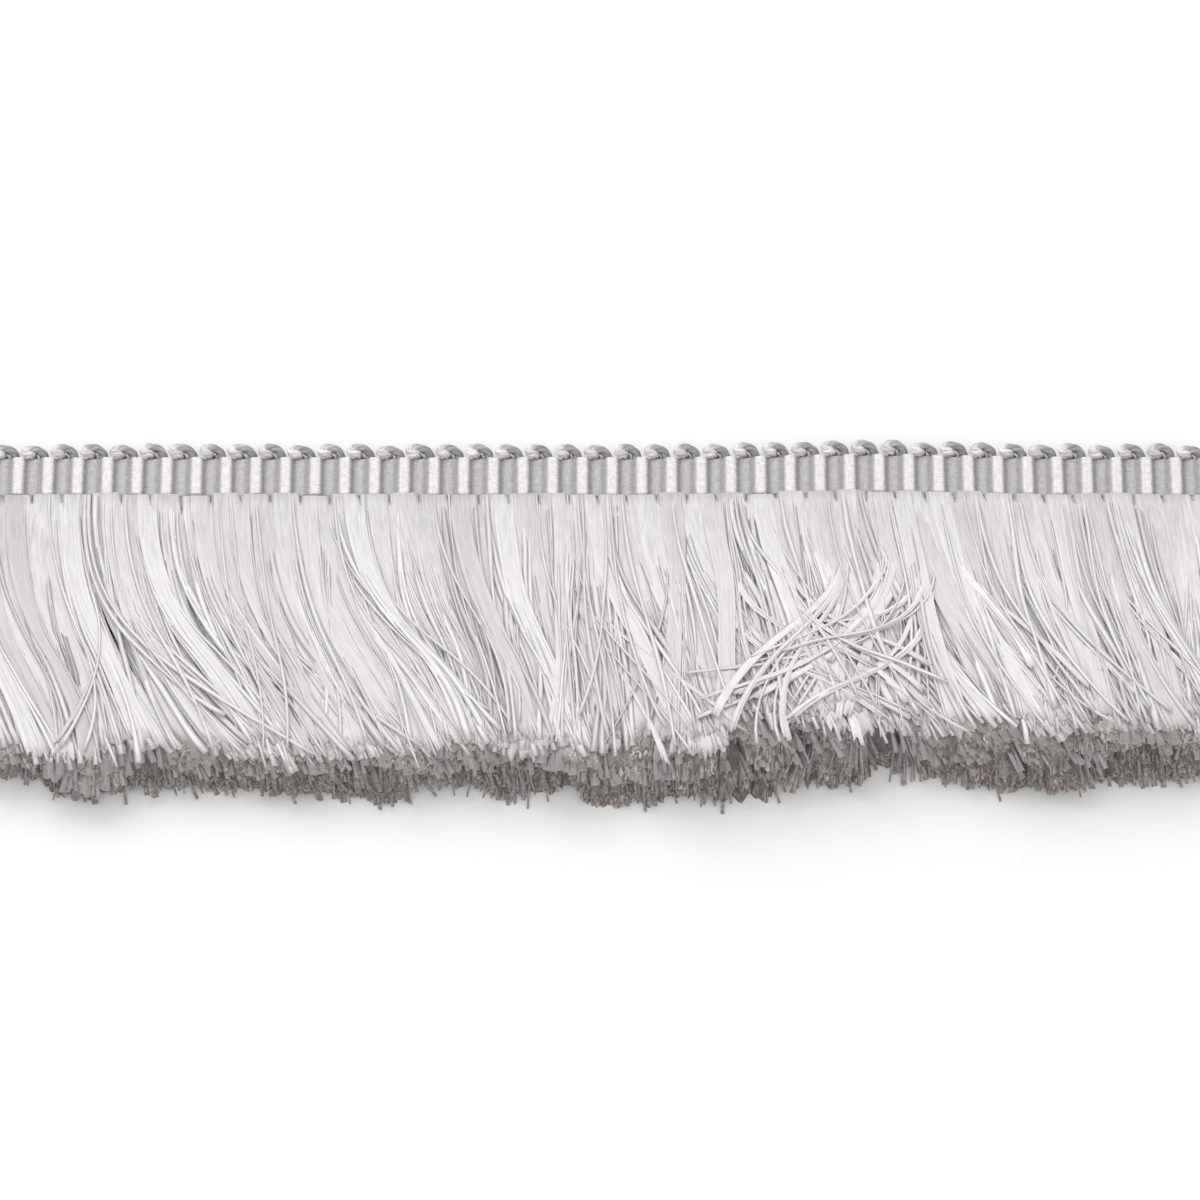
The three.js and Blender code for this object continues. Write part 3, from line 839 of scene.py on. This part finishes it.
# Small tufts that lie across the others: the root's place, how many strands, how wide
# and how long, how far over the brush they ride, and their leans from root to tip.
sweeps = [
    (46, 3, 4.5, 47, 0.7, [2, 0, -22, -42, -62, -64]),
    (50, 2, 2.6, 46, 0.9, [4, 4, -8, -50, -74, -66]),
    (39, 2, 3.2, 45, 0.8, [0, -2, -20, -38, -26, -4]),
    (45, 2, 3.0, 30, 0.4, [2, 2, -6, -24, -40, -34]),
    (48, 2, 2.4, 38, 0.6, [0, 0, -8, -30, -64, -72]),
    (21, 2, 4.0, 49, 0.6, [2, 4, 14, 48, 66, 60]),
    (20, 2, 3.0, 36, 0.4, [2, 10, 30, 22, 8, 0]),
    (28, 2, 2.6, 46, 0.8, [2, 8, 20, 46, 68, 50]),
    (44, 2, 2.6, 39, 0.3, [2, 0, -4, -6, -10, -8]),
    (40, 2, 3.6, 39, 0.3, [0, 0, -4, -14, -24, -22]),
    (26, 2, 4.0, 40, 0.2, [0, 12, 22, 26, 20, 8]),
    (32, 2, 4.0, 38, 0.3, [4, 14, 16, 2, -12, -20]),
    (36, 2, 5.0, 40, 0.2, [2, 6, 14, 22, 26, 30]),
    (53, 2, 3.4, 41, 0.4, [6, 12, 26, 34, 30, 20]),
    (-66, 2, 2.2, 47, 0.3, [3, 12, 26, 42, 42, 36]),
    (-71, 1, 1.4, 45, 0.5, [4, 16, 20, 2, -16, -26]),
    (-4, 2, 1.8, 49, 0.4, [6, 16, 30, 40, 40, 36]),
    (-34, 2, 1.8, 46, 0.4, [2, 12, 26, 34, 32, 38]),
    (72, 2, 2.2, 46, 0.4, [6, 14, 28, 38, 34, 28]),
]


# Lines of one swept tuft, walked as the tufts' lines are, along leans that are smooth between the ones
# given and turned by own = turn * t + curl * t^2. Gives their places and how high they ride.
def sweptLines(sweep, count, longer, over, draw):
    rootX, _, width, length, high, leans = sweep
    steps = sweeping["steps"]
    t = np.linspace(0, 1, steps)[None]
    own = draw.normal(0, sweeping["turn"], (count, 1)) * t
    own = own + draw.normal(0, sweeping["curl"], (count, 1)) * t**2
    lean = smoothLine([[a] for a in leans], steps)[:, 0]
    turned = np.radians(lean[None] + own)
    stride = length * (1 + draw.normal(*longer, (count, 1))) / (steps - 1)
    start = np.zeros((count, 1))
    x = rootX + np.concatenate([start, np.cumsum(np.sin(turned[:, 1:]) * stride, 1)], 1)
    down = np.concatenate([start, np.cumsum(np.cos(turned[:, 1:]) * stride, 1)], 1)
    x = x + draw.uniform(-0.5, 0.5, (count, 1)) * width * sweptNarrowing(t)
    return x, down, high + draw.uniform(*over, (count, 1))


# How wide a swept tuft still is at t: 1 - 0.4 * ease(t / 0.6) + 0.2 * ease((t - 0.7) / 0.3).
def sweptNarrowing(t):
    return 1 - 0.4 * ease(t / 0.6) + 0.2 * ease((t - 0.7) / 0.3)


# How high swept tufts lie: thickness - under + over * ease((t - 0.12) / 0.4).
def sweptLevel(x, down, over, t):
    return brushHeight(x, down) - sweeping["under"] + over * ease((t - 0.12) / 0.4)


# The swept tufts' strands, as paths, and the upper and under faces of their ribbons, which come out
# of the brush as thin points: half width * narrowing * (0.05 + 0.95 * ease((t - 0.08) / 0.4)).
def sweepPaths(draw):
    strands, tops, unders = [], [], []
    t = np.linspace(0, 1, sweeping["steps"])[None]
    least, more = sweeping["ribbonWidth"]

    def level(x, down, side, t):
        return sweptLevel(x, down, over, t) - 0.12 * side**2

    def thick(x, down):
        return sweeping["ribbonThick"] + 0 * x

    for sweep in sweeps:
        _, count, width, *_ = sweep
        x, down, over = sweptLines(sweep, count, sweeping["strandLonger"], (0.1, 0.5), draw)
        z = sweptLevel(x, down, over, t)
        strands.append(np.stack([x, tapeLow[1] - down + bow(x), z], -1))
        ribbons = int(1 + sweeping["ribbons"] * width)
        x, down, over = sweptLines(sweep, ribbons, sweeping["ribbonLonger"], (0.0, 0.5), draw)
        over = over[:, None]
        halfWidth = draw.uniform(*sweeping["ribbonSizes"], (ribbons, 1)) * (least + more * width)
        halfWidth = halfWidth * sweptNarrowing(t) * (0.05 + 0.95 * ease((t - 0.08) / 0.4))
        columns, shorter = sweeping["columns"], sweeping["shorter"]
        top, under = bodyFaces(x, down, halfWidth, level, thick, 0.0, columns, shorter, draw)
        tops.append(top)
        unders.append(under)
    return np.concatenate(strands), np.concatenate(tops), np.concatenate(unders)


stray = {
    "strands": 45,
    "lean": 9.0,
    "curl": 16.0,
    "longer": (-1.0, 1.5),
    "over": 0.5,  # how far over the brush's thickness they come at most, from how far under it
    "under": 0.25,
    "steps": 20,
    "ends": 12.0,  # none has its root this near to the trim's ends
    "wide": 0.7,
    "spread": 0.2,
    "tone": (0.2, 0.15),
}


# Single strands that lie across the brush, each with a lean and a curl of its own:
# z = thickness - under + over * ease(t / 0.4).
def strayPaths(draw):
    count, steps = stray["strands"], stray["steps"]
    t = np.linspace(0, 1, steps)[None]
    groups = {
        "x": draw.uniform(tapeLow[0] + stray["ends"], tapeHigh[0] - stray["ends"], count),
        "depth": np.full(count, 1.0),
        "lean": draw.normal(0, stray["lean"], count),
        "curl": draw.normal(0, stray["curl"], count),
        "longer": draw.normal(*stray["longer"], count),
    }
    x, down = walkLines(groups, steps, 1.0)
    over = draw.uniform(0.0, 1.0, (count, 1)) * stray["over"]
    z = brushHeight(x, down) - stray["under"] + over * ease(t / 0.4)
    return np.stack([x, tapeLow[1] - down + bow(x), z], -1)


# Paths with a first ring inside the tape, where the strands are tucked in.
def tucked(paths):
    root = paths[:, :1] + [0.0, 0.4, 0.0]
    root[:, :, 2] = 0.3 + 0.5 * (root[:, :, 2] - 0.3)
    return np.concatenate([root, paths], axis=1)


# Adds a piece of the brush in place of its solid, and says how large it is.
def brushPiece(name, arrays, material):
    piece = meshPiece(name, *arrays, material)
    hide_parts("brush")
    print(name + ":", 2 * len(arrays[1]) + len(arrays[3]), "triangles")


# The row of the map for a tone, about 0: (0.5 + tone) * rows.
def shadeRow(tone, rows):
    return np.clip((0.5 + tone) * rows, 0, rows - 1).astype(int)


# Strands as a mesh piece, a little wider at the cut end: radius * (1 + spread * ease((t - 0.85) / 0.15)).
# In front they are four-sided, like low roofs with a soft ridge, and inside three-sided, flat side up.
def strandPiece(name, paths, radius, tone, spread, material, sides):
    paths, radius = tucked(paths), np.concatenate([radius[:, :1], radius], axis=1)
    t = np.linspace(0, 1, paths.shape[1])[None]
    radii = radius * (1 + spread * ease((t - 0.85) / 0.15))
    turned = 0.0 if sides == 4 else 0.25
    rows = shadeRow(tone, yarn["rows"])
    arrays = tubeArrays(paths, radii, sides, turned, sides - 2, brush["flat"], rows, yarn["rows"])
    brushPiece(name, arrays, material)


# The matted bodies as a mesh piece.
def mattedPiece(name, top, under, tone, material):
    rows = shadeRow(tone, matting["rows"])
    brushPiece(name, bodyArrays(top, under, rows, matting["rows"]), material)


tapePiece = headingTape()
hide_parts("heading_tape")
print("heading tape:", len(tapePiece.data.polygons), "faces")

cordPiece = loopCord()
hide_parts("loop_cord")
print("loop cord:", len(cordPiece.data.polygons), "faces")

strandFloss, mattedFloss = {}, {}
for name in ("front", "inner", "back"):
    ends = yarn["strandEndsPaintedShade"][name]
    strandFloss[name] = flossMaterial(name + "Floss", yarn[name], yarn["rows"], "strands", ends)
    # Painted shade: the matted floss, seen between the loose strands, is painted duller than they are.
    mattedPaintedShade = [tuple(yarn["matted"] * c for c in shade) for shade in yarn[name]]
    ends = yarn["mattedEndsPaintedShade"][name]
    mattedFloss[name] = flossMaterial(name + "Matted", mattedPaintedShade, matting["rows"], "matted", ends)
ends = yarn["strandEndsPaintedShade"]["front"]
ribbonFloss = flossMaterial("ribbonFloss", yarn["front"], matting["rows"], "ribbons", ends)

draw = np.random.default_rng(5)
for differences in layers:
    layer = {**usualLayer, **differences}
    tufts = layerTufts(layer, draw)
    locks = layerLocks(layer, tufts, draw)
    sides = 4 if layer["floss"] == "front" else 3
    strands = strandPaths(layer, locks, draw)
    strandPiece(layer["name"], *strands, layer["spread"], strandFloss[layer["floss"]], sides)
    bodies = tuftBodies(layer, tufts, draw)
    mattedPiece(layer["name"] + "Matted", *bodies, mattedFloss[layer["floss"]])

draw = np.random.default_rng(8)
strands, top, under = sweepPaths(draw)
radius = strandRadii(len(strands), sweeping["steps"], draw) * sweeping["wide"]
tone = draw.normal(*sweeping["strandTone"], len(strands))
strandPiece("sweptTufts", strands, radius, tone, sweeping["spread"], strandFloss["front"], 4)
mattedPiece("sweptTuftsMatted", top, under, draw.normal(*sweeping["ribbonTone"], len(top)), ribbonFloss)
strands = strayPaths(draw)
radius = strandRadii(*strands.shape[:2], draw) * stray["wide"]
tone = draw.normal(*stray["tone"], len(strands))
strandPiece("strayStrands", strands, radius, tone, stray["spread"], strandFloss["front"], 4)

studio = {
    "floorSize": 6000.0,
    "floorColour": (0.86, 0.86, 0.86),
    "world": 0.97,  # strength of the white backdrop's light
    "key": {"place": (-260.0, 600.0, 740.0), "size": 700.0, "watts": 3.9},
    "aim": (4.6, -18.4, 0.0),
    "elevation": 65.0,
    "distance": 900.0,
    "frameWidth": 168.6,
}


# The floor that the trim lies on, a hair under it.
def makeFloor():
    half = studio["floorSize"] * mm / 2
    mesh = bpy.data.meshes.new("floor")
    corners = [(-half, -half, -2e-5), (half, -half, -2e-5), (half, half, -2e-5), (-half, half, -2e-5)]
    mesh.from_pydata(corners, [], [(0, 1, 2, 3)])
    floor = newObject("floor", mesh)
    material = bpy.data.materials.new("floorWhite")
    material.use_nodes = True
    shader = material.node_tree.nodes["Principled BSDF"]
    shader.inputs["Base Color"].default_value = (*studio["floorColour"], 1.0)
    shader.inputs["Roughness"].default_value = 0.9
    shader.inputs["Specular IOR Level"].default_value = 0.1
    mesh.materials.append(material)


# Turns a lamp or the camera, which look along their own -Z, to face a point.
def faceTowards(thing, point):
    x, y, z = (p * mm - q for p, q in zip(point, thing.location))
    thing.rotation_euler = (math.atan2(math.hypot(x, y), -z), 0.0, math.atan2(-x, y))


# A soft white backdrop and one large round lamp behind the trim, above its heading.
def makeLights():
    world = bpy.data.worlds.new("studio")
    world.use_nodes = True
    backdrop = world.node_tree.nodes["Background"]
    backdrop.inputs["Color"].default_value = (1.0, 1.0, 1.0, 1.0)
    backdrop.inputs["Strength"].default_value = studio["world"]
    bpy.context.scene.world = world
    key = studio["key"]
    data = bpy.data.lights.new("key", "AREA")
    data.shape = "DISK"
    data.size = key["size"] * mm
    data.energy = key["watts"]
    lamp = newObject("key", data)
    lamp.location = [p * mm for p in key["place"]]
    faceTowards(lamp, studio["aim"])


# The camera looks down at the aim from the front, and sees the frame's width there:
# lens = sensor * distance / frame width.
def makeCamera():
    data = bpy.data.cameras.new("camera")
    camera = newObject("camera", data)
    lift = math.radians(studio["elevation"])
    aimX, aimY, aimZ = studio["aim"]
    far = studio["distance"]
    camera.location = (aimX * mm, (aimY - far * math.cos(lift)) * mm, (aimZ + far * math.sin(lift)) * mm)
    data.lens = data.sensor_width * far / studio["frameWidth"]
    data.clip_end = 20.0
    faceTowards(camera, studio["aim"])
    bpy.context.scene.camera = camera


makeFloor()
makeLights()
makeCamera()
bpy.context.scene.view_settings.view_transform = "Standard"
print("floor, lights and camera are set")
